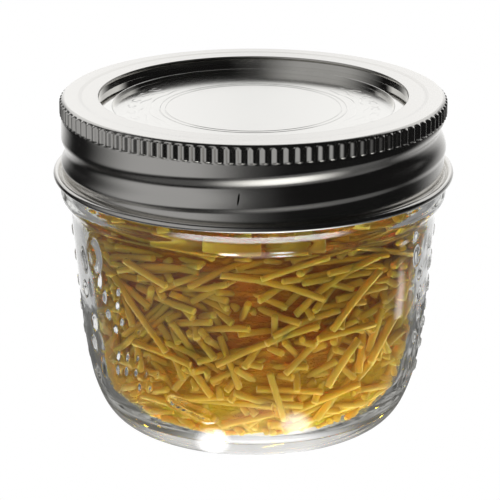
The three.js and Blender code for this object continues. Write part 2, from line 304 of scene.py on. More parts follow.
class Nodes:
    """A node tree with short calls for the nodes that the finishes and the studio share."""

    def __init__(self, tree, coordinates):
        self.tree = tree
        self.place = self.node("ShaderNodeTexCoord").outputs[coordinates]

    def feed(self, made, inputs):
        """Links the inputs of a node that are given as sockets and sets the others."""
        for key, value in inputs.items():
            if isinstance(value, bpy.types.NodeSocket):
                self.tree.links.new(value, made.inputs[key])
            else:
                made.inputs[key].default_value = value

    def node(self, kind, inputs=None, **settings):
        made = self.tree.nodes.new(kind)
        for key, value in settings.items():
            setattr(made, key, value)
        self.feed(made, inputs or {})
        return made

    def axes(self):
        """The x, y and z of the place."""
        return self.node("ShaderNodeSeparateXYZ", {0: self.place}).outputs

    def noise(self, scale, detail=3.0, stretch=(1.0, 1.0, 1.0)):
        """Noise over the object, scale in features per metre."""
        place = self.node("ShaderNodeMapping", {"Vector": self.place, "Scale": stretch}).outputs["Vector"]
        inputs = {"Vector": place, "Scale": scale, "Detail": detail}
        return self.node("ShaderNodeTexNoise", inputs).outputs["Fac"]

    def span(self, value, low, high, to_low=0.0, to_high=1.0):
        """Maps low..high to to_low..to_high with soft ends."""
        inputs = {"Value": value, "From Min": low, "From Max": high, "To Min": to_low, "To Max": to_high}
        return self.node("ShaderNodeMapRange", inputs, interpolation_type="SMOOTHSTEP").outputs["Result"]

    def math(self, operation, first, second=0.0):
        return self.node("ShaderNodeMath", {0: first, 1: second}, operation=operation).outputs[0]

    def times(self, first, second):
        return self.math("MULTIPLY", first, second)

    def plus(self, first, second):
        return self.math("ADD", first, second)

    def minus(self, first, second):
        return self.math("SUBTRACT", first, second)

    def squares(self, first, second):
        """The sum of two squares."""
        return self.plus(self.math("POWER", first, 2.0), self.math("POWER", second, 2.0))

    def mix(self, share, first, second):
        inputs = {"Factor": share, 6: first, 7: second}
        return self.node("ShaderNodeMix", inputs, data_type="RGBA").outputs[2]

    def bump(self, height, distance, strength=1.0):
        inputs = {"Height": height, "Distance": distance, "Strength": strength}
        return self.node("ShaderNodeBump", inputs).outputs["Normal"]

    def choice(self, share, first, second):
        """The second of two shaders where the share is 1, the first where it is 0."""
        return self.node("ShaderNodeMixShader", {"Fac": share, 1: first, 2: second}).outputs["Shader"]

    def rays(self):
        """The light path's outputs and two kinds of ray: mirrored in, and refracted by, clear glass."""
        paths = self.node("ShaderNodeLightPath").outputs
        mirrored = self.times(paths["Is Singular Ray"], paths["Is Reflection Ray"])
        refracted = self.times(paths["Is Singular Ray"], paths["Is Transmission Ray"])
        return paths, mirrored, refracted


class Shader(Nodes):
    """A material's nodes; set feeds the inputs of its main shader."""

    def __init__(self, name):
        self.material = bpy.data.materials.new(name)
        self.material.use_nodes = True
        super().__init__(self.material.node_tree, "Object")
        self.main = self.tree.nodes["Principled BSDF"]

    def set(self, inputs):
        self.feed(self.main, inputs)


def rgba(values):
    return (*values, 1.0)


def grey(level):
    return (level, level, level, 1.0)


def toned(values, shares):
    """A colour with each channel times its share."""
    return rgba([channel * share for channel, share in zip(values, shares)])


# ---- Glass jar ----

# Spacing of the columns of the glass, in degrees: [up to this angle, step].
GLASS_COLUMNS = ((52.0, 1.4), (125.0, 0.5), (235.0, 1.4), (338.0, 0.5), (360.0, 1.4))
# The outside, [radius, height]: named points, and the controls of the curves between them.
STANDING_RING = (24.2 * MM, 25.8 * MM)  # its inner and outer radius
PUSH_UP = 1.2 * MM  # rise of the base inside the ring
HEEL_CONTROLS = in_metres((28.2, 0.2), (29.6, 3.4))
HEEL_TOP = (30.8 * MM, 7.6 * MM)
LOW_CONTROLS = in_metres((31.7, 12.0))
SIDE_LOW = (32.3 * MM, 17.0 * MM)
SIDE_TOP = (33.9 * MM, 37.8 * MM)
NECK_RADIUS = 32.7 * MM
NECK_FOOT = 45.9 * MM
# The curves from the side to the neck: steps, controls and end in millimetres.
SHOULDER_CURVES = (
    (9, (34.0, 39.4), (34.15, 40.5), (34.75, 41.3)),
    (7, (35.2, 41.9), (SHOULDER_RADIUS / MM + 0.05, 42.5), (SHOULDER_RADIUS / MM - 0.05, 43.4)),
    (6, (35.64, 43.9), (35.4, 44.5), (35.15, 45.0)),
    (5, (34.9, 45.4), (34.2, NECK_FOOT / MM), (NECK_RADIUS / MM, NECK_FOOT / MM)),
)
MOUTH_RADIUS = 30.0 * MM
RIM_ROUND = 1.4 * MM
# The inside.
INNER_NECK_FOOT = 46.8 * MM
INNER_SHOULDER = (32.8 * MM, 42.8 * MM)
INNER_SHOULDER_CONTROLS = in_metres((30.0, 45.3), (32.8, 44.9))
INNER_SIDE_CONTROLS = in_metres((32.8, 41.6), (31.7, 40.6))
INNER_HEEL_TOP = 9.5 * MM
INNER_HEEL_CONTROL = (28.6 * MM, 1.0 * MM)  # its height is above the floor
INNER_HEEL_RADIUS = 25.0 * MM
FLOOR_DISH = in_metres((18, 0.15), (9, 0.25), (0, 0.3))  # radius and depth
INNER_WAVES = ((3, 0.21, 0.0), (5, -0.33, 1.3), (8, 0.17, 4.0))
WAVES_FADE = (20 * MM, 28 * MM)  # radii over which they grow, from the floor to the side
RELIEF_FADE = (3.0 * MM, 6.0 * MM)  # heights over which the pressed marks grow


def outer_glass():
    """Profile of the outside, from the middle of the base to the foot of the neck."""
    ring_in, ring_out = STANDING_RING
    foot = [(0.0, PUSH_UP * 0.85), (ring_in * 0.5, PUSH_UP * 0.92), (ring_in - 3.2 * MM, PUSH_UP)]
    foot += bezier([(ring_in - 2.2 * MM, PUSH_UP), (ring_in - 1.0 * MM, PUSH_UP), (ring_in, 0.0)], 6)
    heel = bezier([(ring_out, 0.0), *HEEL_CONTROLS, HEEL_TOP], 22)
    low = bezier([HEEL_TOP, *LOW_CONTROLS, SIDE_LOW], 24)
    side = straight(SIDE_LOW, SIDE_TOP, 52)
    profile = foot + heel + low[1:] + side
    for steps, *controls in SHOULDER_CURVES:
        profile += bezier([profile[-1], *in_metres(*controls)], steps)[1:]
    return profile


def inner_glass(wall, floor):
    """Profile of the inside, from the mouth down to the middle of the floor."""
    heel_radius = radius_at(outer_glass(), INNER_HEEL_TOP) - wall
    mouth = [(MOUTH_RADIUS, RIM_TOP - RIM_ROUND - 5 * MM)]
    mouth += bezier([(MOUTH_RADIUS, INNER_NECK_FOOT), *INNER_SHOULDER_CONTROLS, INNER_SHOULDER], 9)
    side = bezier([INNER_SHOULDER, *INNER_SIDE_CONTROLS, (SIDE_TOP[0] - wall, SIDE_TOP[1])], 7)
    lower = straight(side[-1], (SIDE_LOW[0] - wall, SIDE_LOW[1]), 6)
    controls = [(heel_radius + 0.2 * MM, INNER_HEEL_TOP),
                (INNER_HEEL_CONTROL[0], floor + INNER_HEEL_CONTROL[1])]
    heel = bezier([lower[-1], *controls, (INNER_HEEL_RADIUS, floor)], 14)
    return mouth + side[1:] + lower + heel[1:] + [(radius, floor - dip) for radius, dip in FLOOR_DISH]


def oval_field(angle, height, spots):
    """Height (0 to 1) of the tallest of some raised ovals at each place.

    Each spot is (angle in degrees, height, half width, half height, lean in degrees, edge share, rise).
    """
    share = np.zeros_like(angle)
    for at, level, half_width, half_height, lean, edge, rise in spots:
        turn = (angle - math.radians(at) + math.pi) % TURN - math.pi
        across = turn * SIDE_TOP[0]
        up = height - level * MM
        c, s = math.cos(math.radians(lean)), math.sin(math.radians(lean))
        out = np.hypot((across * c + up * s) / (half_width * MM), (across * s - up * c) / (half_height * MM))
        share = np.maximum(share, rise * smooth(1.0 - out, 0.0, edge))
    return share


# Ovals and a leafy sprig near the front edges of the pressed sides: angle in degrees, height, half width
# and half height in millimetres, lean in degrees.
SIDE_SPOTS = (
    (58.5, 39.0, 0.9, 1.0, 0), (61.0, 35.0, 1.5, 2.1, 20), (64.5, 30.8, 1.2, 1.1, 0),
    (66.5, 26.4, 1.2, 1.3, 0), (68.5, 22.1, 1.2, 1.2, 10), (66.5, 17.8, 1.0, 1.3, 0),
    (66.5, 11.8, 0.9, 2.2, 5), (66.0, 8.0, 0.9, 0.8, 0), (71.5, 35.6, 1.0, 1.7, 15),
    (76.5, 30.4, 1.2, 1.3, 0), (79.0, 25.4, 1.2, 1.3, 0), (77.5, 18.6, 1.1, 1.3, 0),
    (77.0, 14.3, 1.0, 1.3, 0), (76.5, 9.8, 0.9, 1.4, 0),
    (-57.5, 35.4, 2.8, 3.8, -14), (-55.5, 30.9, 0.45, 1.5, -12), (-53.5, 28.2, 0.45, 1.4, -10),
    (-52.5, 24.9, 0.85, 0.85, 0), (-46.0, 30.4, 0.5, 1.0, -25), (-47.0, 27.6, 0.55, 0.9, -25),
    (-45.5, 24.6, 0.45, 1.0, -15), (-49.0, 22.6, 0.55, 0.8, 0), (-38.5, 23.7, 0.35, 0.9, -35),
    (-66.0, 33.0, 1.6, 2.6, 18), (-68.0, 27.0, 1.3, 1.5, 0), (-62.5, 21.5, 1.2, 1.6, -10),
    (-65.0, 16.8, 1.2, 1.6, 10), (-59.5, 13.0, 0.9, 2.0, -8), (-66.5, 10.5, 1.0, 1.6, 0),
)
SIDE_SPOT_FORM = (0.42, 1.0)  # share of the half width that the edge slopes over, and rise
# Rows of slanted dashes: angle and height of the first, how many.
DASHES = ((-49.0, 17.3, 4), (-50.5, 14.2, 5), (-40.5, 12.4, 2))
DASH_STEP = (4.6, 0.5)
DASH_FORM = (0.42, 1.3, -26, 0.7, 0.8)
# Columns of ovals round the far edges: angle and height of the first, steps, and how each is shaped.
OVAL_START, OVAL_STEP, OVAL_ROWS, OVAL_COLUMNS = (89.0, 9.5), (12.0, 5.0), 6, 3
OVAL_SIZE, OVAL_LEAN, OVAL_EDGE_AND_RISE = (1.3, 1.8), 18, (0.45, 0.9)
CAPSULE_PLACE = (-21.0, 10.4 * MM)  # angle and height
CAPSULE_LEAN = -20.0
CAPSULE_HALF = (3.3 * MM, 0.85 * MM)  # half the length of its straight part, and half its width
CAPSULE_LINE = (0.42 * MM, 0.26 * MM)  # half width of the raised line, and of its slope


def pressed_spots():
    """All raised ovals and dashes of the two pressed sides."""
    spots = [(*spot, *SIDE_SPOT_FORM) for spot in SIDE_SPOTS]
    for at, level, number in DASHES:
        spots += [(at + DASH_STEP[0] * k, level + DASH_STEP[1] * k, *DASH_FORM) for k in range(number)]
    for side in (1, -1):
        for column in range(OVAL_COLUMNS):
            at = side * (OVAL_START[0] + OVAL_STEP[0] * column)
            for row in range(OVAL_ROWS):
                level = OVAL_START[1] + OVAL_STEP[1] * (row + 0.5 * (column % 2))
                spots.append((at, level, *OVAL_SIZE, side * OVAL_LEAN, *OVAL_EDGE_AND_RISE))
    return spots


def capsule_share(angle, height):
    """Share of a raised capsule outline low on the front, left of the middle."""
    turn = math.radians(CAPSULE_LEAN)
    across = (angle - TURN * (angle > math.pi) - math.radians(CAPSULE_PLACE[0])) * HEEL_TOP[0]
    up = height - CAPSULE_PLACE[1]
    along = across * math.cos(turn) + up * math.sin(turn)
    beside = -across * math.sin(turn) + up * math.cos(turn)
    beyond = np.maximum(np.abs(along) - CAPSULE_HALF[0], 0.0)
    out = np.hypot(beyond, beside) - CAPSULE_HALF[1]
    return smooth(CAPSULE_LINE[0] - np.abs(out), 0.0, CAPSULE_LINE[1])


class NOODLEJAR_OT_glass(bpy.types.Operator):
    """Build the clear glass jar with its pressed ovals and thick base"""

    bl_idname = "noodlejar.glass"
    bl_label = "Glass Jar"

    def execute(self, context):
        sizes = context.scene.noodle_jar.glass
        outer = outer_glass()
        neck = straight((NECK_RADIUS, NECK_FOOT), (NECK_RADIUS, RIM_TOP - RIM_ROUND), 3)
        half = (NECK_RADIUS - MOUTH_RADIUS) / 2
        rim = elliptic((MOUTH_RADIUS + half, RIM_TOP - RIM_ROUND), (half, RIM_ROUND), 0, 180, 8)
        inner = inner_glass(sizes.wall, sizes.floor)
        profile = outer + neck + rim[1:] + inner
        last_outer = len(outer) - 1
        first_inner = len(outer) + len(neck) + len(rim) - 2

        def move(angle, radius, height):
            radius = radius.copy()
            body = slice(0, last_outer)
            a, z = angle[body], height[body]
            raised = np.maximum(oval_field(a, z, pressed_spots()), capsule_share(a, z))
            radius[body] += sizes.relief * raised * smooth(z, *RELIEF_FADE)
            within = slice(first_inner, None)
            waves = sum(wave(angle[within], height[within], *form) for form in INNER_WAVES)
            radius[within] += sizes.waviness * waves * smooth(radius[within], *WAVES_FADE)
            return radius, height

        angles = []
        start = 0.0
        for end, step in GLASS_COLUMNS:
            angles += np.radians(np.arange(start, end - step / 2, step)).tolist()
            start = end
        jar = turned("glass_jar", profile, np.array(angles), move)
        finished(jar, glass_material(sizes), "jar")
        return {"FINISHED"}


# Rays reflected many times inside the glass end on one of these tones: painted glints over a painted dark
# tone; the brightest glint is lower at the heel.
PAINTED_DARK_TONE = (0.05, 0.048, 0.042, 1.0)
PAINTED_HEEL_GLINT_TONE = (0.48, 0.475, 0.45, 1.0)
PAINTED_GLINT_TONE = (0.9, 0.9, 0.88, 1.0)
MOST_REFLECTIONS = 3.5


def glass_material(sizes):
    shader = Shader("clear_glass")
    shader.set({
        "Base Color": rgba(sizes.tint),
        "Transmission Weight": 1.0,
        "IOR": 1.5,
        "Roughness": 0.0,
        "Normal": shader.bump(shader.noise(260.0, 2.0), 0.02 * MM),
    })
    # Light that is reflected many times inside the glass would end as black spots; it ends on painted glints
    # instead.
    painted_glints = shader.span(shader.noise(420.0, 3.0, (1.0, 1.0, 0.45)), 0.36, 0.64)
    above_heel = shader.span(shader.axes()["Z"], 8 * MM, 14 * MM)
    tone = shader.mix(painted_glints, PAINTED_DARK_TONE, shader.mix(above_heel, PAINTED_HEEL_GLINT_TONE, PAINTED_GLINT_TONE))
    painted_glint_glow = shader.node("ShaderNodeEmission", {"Color": tone}).outputs["Emission"]
    paths = shader.node("ShaderNodeLightPath").outputs
    many = shader.math("GREATER_THAN", paths["Glossy Depth"], MOST_REFLECTIONS)
    lit = shader.choice(many, shader.main.outputs["BSDF"], painted_glint_glow)
    # Shadows pass through the glass.
    clear = shader.node("ShaderNodeBsdfTransparent").outputs["BSDF"]
    surface = shader.choice(paths["Is Shadow Ray"], lit, clear)
    shader.feed(shader.tree.nodes["Material Output"], {"Surface": surface})
    return shader.material


# ---- Noodles ----


def dot(first, second):
    return np.einsum("ij,ij->i", first, second)


def closest_on_segments(p, u, q, v):
    """Shares along p + s*u and q + t*v, both in -1..1, of the closest points of many pairs."""
    w = p - q
    a, b, c, d, e = dot(u, u), dot(u, v), dot(v, v), dot(u, w), dot(v, w)
    denominator = np.maximum(a * c - b * b, 1e-16)
    s = np.clip((b * e - c * d) / denominator, -1.0, 1.0)
    t = np.clip((b * s + e) / c, -1.0, 1.0)
    s = np.clip((b * t - d) / a, -1.0, 1.0)
    return s, t


BED_SHARE = 0.24  # share of the noodles that lie flat on the glass floor
BED_DEPTH = 3.5 * MM
BED_STEEPEST = 12.0  # degrees
# Steepest lie of the other noodles, in degrees, at some heights: they lie flatter near the top.
STEEP_LEVELS = np.array([8.0, 16.0, 28.0, 35.0, 40.0]) * MM
STEEPEST = np.array([60.0, 75.0, 65.0, 35.0, 10.0])
LENGTH_FORM = (1.5, 1.7)  # shape of the beta spread of the lengths
GLASS_GAP = 0.06 * MM
SCATTER_SLACK = 0.6 * MM  # how far an end may be scattered into the glass; it is pushed back later
TOUCH = 0.98  # distance of two touching noodles, in thicknesses
PUSH_SHARE = 0.32
TURN_SHARE = 0.9
PAIR_REACH = 2.2  # pairs nearer than this, in thicknesses, are kept until the next search
ROUNDS_A_SEARCH = 6


class NoodleHeap:
    """Straight sticks scattered in the outer layer of the jar, then pushed apart and off the glass."""

    def __init__(self, sizes, inner_profile):
        self.random = np.random.default_rng(sizes.seed)
        self.thickness = sizes.thickness
        self.layer = sizes.layer
        self.levels, self.radii = side_of(inner_profile)
        self.bottom = FILL_BOTTOM
        self.top = FILL_TOP
        self.scatter(sizes)

    def wall(self, height):
        """Radius that a noodle's middle line may reach at a height."""
        return np.interp(height, self.levels, self.radii) - self.thickness / 2 - GLASS_GAP

    def scatter(self, sizes):
        middles, halves = [], []
        while len(middles) < sizes.count:
            height = self.random.uniform(self.bottom, self.top)
            limit = float(self.wall(height))
            in_bed = self.random.uniform() < BED_SHARE
            if in_bed:
                height = self.bottom + self.random.uniform(0.1, 1.0) * BED_DEPTH
                limit = float(self.wall(height))
            inside = 0.0 if in_bed or self.top - height < self.layer / 2 else max(limit - self.layer, 0.0)
            radius = math.sqrt(self.random.uniform(inside**2, limit**2))
            angle = self.random.uniform(0.0, TURN)
            span = self.random.beta(*LENGTH_FORM)
            size = (sizes.shortest + (sizes.longest - sizes.shortest) * span) / 2
            heading = self.random.uniform(0.0, TURN)
            steepest = BED_STEEPEST if in_bed else float(np.interp(height, STEEP_LEVELS, STEEPEST))
            lift = math.radians(steepest) * self.random.choice((-1.0, 1.0)) * self.random.uniform() ** 1.5
            way = [math.cos(heading) * math.cos(lift), math.sin(heading) * math.cos(lift), math.sin(lift)]
            half = size * np.array(way)
            middle = np.array([radius * math.sin(angle), -radius * math.cos(angle), height])
            if self.fits(middle - half) and self.fits(middle + half):
                middles.append(middle)
                halves.append(half)
        self.middle = np.array(middles)
        self.half = np.array(halves)
        self.size = np.linalg.norm(self.half, axis=1)

    def fits(self, point):
        inside = math.hypot(point[0], point[1]) < float(self.wall(point[2])) + SCATTER_SLACK
        return inside and self.bottom < point[2] < self.top

    def gaps(self, pairs):
        """Shares along both noodles of each pair's closest points, and the way and distance between them."""
        i, j = pairs
        s, t = closest_on_segments(self.middle[i], self.half[i], self.middle[j], self.half[j])
        apart = self.middle[i] + s[:, None] * self.half[i] - self.middle[j] - t[:, None] * self.half[j]
        return s, t, apart, np.linalg.norm(apart, axis=1)

    def near_pairs(self, reach):
        """Pairs of noodles that come nearer to each other than reach."""
        between = np.linalg.norm(self.middle[:, None, :] - self.middle[None, :, :], axis=2)
        most = self.size[:, None] + self.size[None, :] + self.thickness
        i, j = np.nonzero(np.triu(between < most, 1))
        keep = self.gaps((i, j))[-1] < reach
        return i[keep], j[keep]

    def relax(self, rounds):
        """Pushes crossing noodles apart and keeps every end inside the glass."""
        for step in range(rounds):
            if step % ROUNDS_A_SEARCH == 0:
                pairs = self.near_pairs(PAIR_REACH * self.thickness)
            self.push_apart(pairs)
            self.keep_inside()

    def push_apart(self, pairs):
        s, t, apart, distance = self.gaps(pairs)
        away = apart / np.maximum(distance, 1e-9)[:, None]
        depth = np.maximum(self.thickness * TOUCH - distance, 0.0)
        push = away * (PUSH_SHARE * depth)[:, None]
        for index, share, sign in ((pairs[0], s, 1.0), (pairs[1], t, -1.0)):
            np.add.at(self.middle, index, sign * push)
            np.add.at(self.half, index, sign * push * (TURN_SHARE * share)[:, None])
        self.keep_lengths()

    def keep_lengths(self):
        self.half *= (self.size / np.linalg.norm(self.half, axis=1))[:, None]

    def keep_inside(self):
        for end in (1.0, -1.0, 0.0):
            point = self.middle + end * self.half
            radius = np.hypot(point[:, 0], point[:, 1])
            over = np.maximum(radius - self.wall(point[:, 2]), 0.0)
            push = np.zeros_like(point)
            push[:, :2] = -point[:, :2] / np.maximum(radius, 1e-6)[:, None] * over[:, None]
            low = self.bottom + self.thickness / 2
            push[:, 2] = np.maximum(low - point[:, 2], 0.0) - np.maximum(point[:, 2] - self.top, 0.0)
            self.middle += push * 0.5
            self.half += push * (0.5 * end)
        self.keep_lengths()


NOODLE_SIDES = 8
NOODLE_RINGS = 4
NOODLE_BEVEL = 0.12 * MM
CUT_SHARE = 0.78  # radius of a cut end as a share of the noodle's
MOST_BENT = 0.13  # bend in the middle as a share of half the length
RADIUS_SPREAD = (0.92, 1.05)


def noodle_mesh(name, heap):
    """One mesh of all noodles: slightly bent round sticks with bevelled cut ends."""
    random = heap.random
    count = len(heap.middle)
    along = heap.half / heap.size[:, None]
    helper = np.where(np.abs(along[:, 2:3]) < 0.9, [[0.0, 0.0, 1.0]], [[1.0, 0.0, 0.0]])
    side = np.cross(along, helper)
    side /= np.linalg.norm(side, axis=1)[:, None]
    other = np.cross(along, side)
    twist = random.uniform(0.0, TURN, count)
    bend_way = np.cos(twist)[:, None] * side + np.sin(twist)[:, None] * other
    bend = heap.size * MOST_BENT * random.uniform(0.0, 1.0, count) ** 2
    radius = heap.thickness / 2 * random.uniform(*RADIUS_SPREAD, count)
    shares = np.linspace(-1.0, 1.0, NOODLE_RINGS)
    shade = random.uniform(0.0, 1.0, count)
    vertices = []
    angles = np.arange(NOODLE_SIDES) * TURN / NOODLE_SIDES
    rings = [(s, NOODLE_BEVEL * (s == -1.0) - NOODLE_BEVEL * (s == 1.0), 1.0) for s in shares]
    rings = [(-1.0, 0.0, CUT_SHARE)] + rings + [(1.0, 0.0, CUT_SHARE)]
    for share, shift, scale in rings:
        centre = heap.middle + share * heap.half + along * shift
        centre = centre + bend_way * (bend * (1.0 - share**2))[:, None]
        for a in angles:
            spoke = math.cos(a) * side + math.sin(a) * other
            vertices.append(centre + spoke * (radius * scale)[:, None])
    grid = np.stack(vertices, axis=1)
    per_noodle = grid.shape[1]
    template = []
    for ring in range(len(rings) - 1):
        for k in range(NOODLE_SIDES):
            a, b = ring * NOODLE_SIDES + k, ring * NOODLE_SIDES + (k + 1) % NOODLE_SIDES
            template.append((a, b, b + NOODLE_SIDES, a + NOODLE_SIDES))
    last = (len(rings) - 1) * NOODLE_SIDES
    caps = [tuple(range(NOODLE_SIDES))[::-1], tuple(last + k for k in range(NOODLE_SIDES))]
    faces = []
    for n in range(count):
        base = n * per_noodle
        faces += [tuple(base + v for v in face) for face in template + caps]
    made = make_object(name, grid.reshape(-1, 3).tolist(), faces)
    values = np.repeat(shade, per_noodle).astype(np.float32)
    made.data.attributes.new("noodle_shade", "FLOAT", "POINT").data.foreach_set("value", values)
    return made


def noodle_material(sizes):
    shader = Shader("dry_noodle")
    shade = shader.node("ShaderNodeAttribute", attribute_name="noodle_shade").outputs["Fac"]
    flour = shader.noise(1400.0)
    share = shader.plus(shader.times(shade, 0.75), shader.times(flour, 0.3))
    shader.set({
        "Base Color": shader.mix(share, rgba(sizes.deep), rgba(sizes.pale)),
        "Roughness": shader.span(flour, 0.3, 0.7, 0.5, 0.65),
        "Normal": shader.bump(shader.noise(5200.0, 2.0), 0.03 * MM, 0.5),
        "Specular IOR Level": 0.25,
        "Sheen Weight": 0.5,
        "Sheen Roughness": 0.3,
        "Sheen Tint": (1.0, 0.8, 0.35, 1.0),
        "Subsurface Weight": 1.0,
        "Subsurface Radius": (1.0, 0.75, 0.4),
        "Subsurface Scale": 1.5 * MM,
    })
    # Painted glow: the loose noodles near the floor emit a faint warm light, which stands in for light coming
    # up through the packed noodles.
    low = shader.span(shader.axes()["Z"], 6 * MM, 20 * MM, 1.0, 0.0)
    painted_glow = shader.mix(low, grey(0.0), rgba(sizes.painted_glow))
    shader.set({"Emission Color": painted_glow, "Emission Strength": 1.0})
    return shader.material


# How far the packed core keeps inside the glass at some heights: close at the bottom and in the neck.
CORE_LEVELS = np.array([4.0, 8.0, 13.0, 20.0, 41.0, 43.5, 52.0]) * MM
CORE_INSETS = np.array([1.1, 1.2, 1.5, 3.0, 3.0, 0.7, 0.7]) * MM
CORE_ENDS = (0.8 * MM, 2.4 * MM)  # from the bottom and from the top of the fill
CORE_EDGE = 0.1 * MM  # further room at its two rims
CORE_ROWS, CORE_COLUMNS = 32, 120
CORE_BUMPS = 0.25 * MM
CORE_WAVES = ((23, 1.7, 0.0), (17, -2.3, 1.0))


class NOODLEJAR_OT_noodles(bpy.types.Operator):
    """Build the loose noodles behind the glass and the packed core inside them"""

    bl_idname = "noodlejar.noodles"
    bl_label = "Noodles"

    def execute(self, context):
        settings = context.scene.noodle_jar
        sizes = settings.noodles
        heap = NoodleHeap(sizes, inner_glass(settings.glass.wall, settings.glass.floor))
        heap.relax(60)
        noodles = noodle_mesh("dry_noodles", heap)
        finished(noodles, noodle_material(sizes), "noodles")
        low, high = FILL_BOTTOM + CORE_ENDS[0], FILL_TOP - CORE_ENDS[1]
        levels = np.linspace(low + CORE_EDGE, high - CORE_EDGE, CORE_ROWS)
        insets = np.interp(levels, CORE_LEVELS, CORE_INSETS)
        side = [(float(heap.wall(z)) - float(inset), float(z)) for z, inset in zip(levels, insets)]

        def lumpy(angle, radius, height):
            first, second = (wave(angle, height, *form) for form in CORE_WAVES)
            return radius + CORE_BUMPS * (first * second), height

        core = turned("noodle_core", [(0.0, low), *side, (0.0, high)], CORE_COLUMNS, lumpy)
        finished(core, core_material(sizes), "noodles")
        return {"FINISHED"}


def core_material(sizes):
    shader = Shader("packed_noodles")
    streaks = shader.span(shader.noise(420.0, 3.0, (1.0, 1.0, 2.6)), 0.38, 0.62)
    # Higher up the core has the deep noodle colour darkened: painted shade between the packed noodles, broken
    # by streaks of random tone.
    upper = shader.mix(streaks, toned(sizes.deep, (0.72, 0.48, 0.4)), toned(sizes.deep, (0.9, 0.72, 0.6)))
    # Near the floor it turns to a lighter colour: painted light, as light coming up through the base.
    low = shader.span(shader.axes()["Z"], 9 * MM, 24 * MM, 1.0, 0.0)
    shader.set({
        "Base Color": shader.mix(low, upper, rgba(sizes.painted_low_light)),
        "Roughness": 0.7,
        "Normal": shader.bump(streaks, 0.5 * MM),
        "Specular IOR Level": 0.15,
        "Subsurface Weight": 1.0,
        "Subsurface Radius": (1.0, 0.62, 0.3),
        "Subsurface Scale": 3.0 * MM,
    })
    return shader.material


# ---- Lid ----

LID_COLUMNS = 900
LID_PLAIN_STEP = 3  # columns to one where nothing is stamped
RIM_LEVEL = LID_HIGH.z
RIM_FLAT_RADIUS = 31.5 * MM
PANEL_WALL_RADIUS = 28.75 * MM
PANEL_WALL_FOOT_RADIUS = 28.70 * MM
PANEL_RING_DEPTH = 2.05 * MM
PANEL_DISH_DEPTH = 0.8 * MM
PANEL_RING_INNER_RADIUS = 26.0 * MM
PANEL_STEP = (0.08 * MM, 0.03 * MM)  # width, and bevel of both its edges
PANEL_DISH_RADIUS = 25.2 * MM
STAMPED_RINGS = (16.2 * MM, 17.2 * MM)
STAMPED_FROM = 15.9 * MM  # radius
RING_LINE = (0.15 * MM, 0.13 * MM)  # half width of a stamped line, and of its slope
SCALLOP_LINE = (0.17 * MM, 0.14 * MM)
SCALLOP_RADIUS, SCALLOP_DEPTH, SCALLOPS = 18.6 * MM, 0.55 * MM, 12
SCROLL_SHARE = 0.35  # depth of the scrolls as a share of the rings'
SCROLL_FADE = 0.2
SCROLL_SIDES = (0.72, 0.86)  # they show at both sides: sine of the angle where they fade in
# Wavy lines that are broken into scrolls: waves, swing and radius in millimetres, share that is left out.
SCROLLS = ((34, 0.75, 22.4, 0.35), (34, -0.75, 22.4, 0.35), (21, 0.5, 20.6, 0.1))


def stroke(distance, line):
    """Share of a stamped line's depth at a distance from its middle."""
    return smooth(line[0] - np.abs(distance), 0.0, line[1])


def stamped(angle, radius, depth):
    """Depth of the rings, the scalloped line and the small scrolls stamped in the panel."""
    cut = np.zeros_like(radius)
    for ring in STAMPED_RINGS:
        cut = np.maximum(cut, stroke(radius - ring, RING_LINE))
    sides = smooth(np.abs(np.sin(angle)), *SCROLL_SIDES)
    scallop = SCALLOP_RADIUS + SCALLOP_DEPTH * np.abs(np.sin(SCALLOPS / 2 * angle))
    cut = np.maximum(cut, SCROLL_SHARE * sides * stroke(radius - scallop, SCALLOP_LINE))
    for waves, swing, ring, gap in SCROLLS:
        line = ring * MM + swing * MM * np.sin(waves * angle)
        broken = smooth(np.sin(waves * angle * 0.5 + ring) ** 2, gap, gap + SCROLL_FADE)
        cut = np.maximum(cut, SCROLL_SHARE * stroke(radius - line, RING_LINE) * broken * sides)
    return depth * cut


class NOODLEJAR_OT_lid(bpy.types.Operator):
    """Build the pressed lid with its sunk panel and stamped rings"""

    bl_idname = "noodlejar.lid"
    bl_label = "Lid"

    def execute(self, context):
        sizes = context.scene.noodle_jar.lid
        ring = TOP - PANEL_RING_DEPTH
        panel = ring - PANEL_DISH_DEPTH
        rings = [circle + step * 0.07 * MM for circle in STAMPED_RINGS for step in range(-3, 4)]
        rows = np.concatenate([np.arange(1.0, 15.5, 1.5) * MM, rings, np.arange(17.9, 24.6, 0.13) * MM])
        step, bevel = PANEL_RING_INNER_RADIUS - PANEL_STEP[0], PANEL_STEP[1]
        top = [(0.0, panel)] + [(float(radius), panel) for radius in rows]
        top += [(step - bevel, panel), (step, ring - bevel), (PANEL_RING_INNER_RADIUS, ring),
                (PANEL_WALL_FOOT_RADIUS, ring), (PANEL_WALL_RADIUS, RIM_LEVEL)]
        top = supported(top, 0.02 * MM) + [(RIM_FLAT_RADIUS, RIM_LEVEL), (LID_RADIUS, RIM_LEVEL)]
        rim_under = RIM_LEVEL - sizes.sheet
        under = [(LID_RADIUS, rim_under), (PANEL_WALL_RADIUS + sizes.sheet, rim_under),
                 (PANEL_WALL_FOOT_RADIUS + sizes.sheet, ring - sizes.sheet),
                 (PANEL_DISH_RADIUS, PANEL_UNDERSIDE), (12 * MM, PANEL_UNDERSIDE), (0.0, PANEL_UNDERSIDE)]

        def move(angle, radius, height):
            on_panel = np.abs(height - panel) < 1e-6
            return radius, height - np.where(on_panel, stamped(angle, radius, sizes.stamp_depth), 0.0)

        def is_stamped(radius, height):
            return abs(height - panel) < 1e-6 and radius > STAMPED_FROM

        profile = under[::-1] + top[::-1]
        lid = turned("pressed_lid", profile, LID_COLUMNS, move, fine=is_stamped, every=LID_PLAIN_STEP)
        finished(lid, lid_material(sizes), "lid")
        return {"FINISHED"}


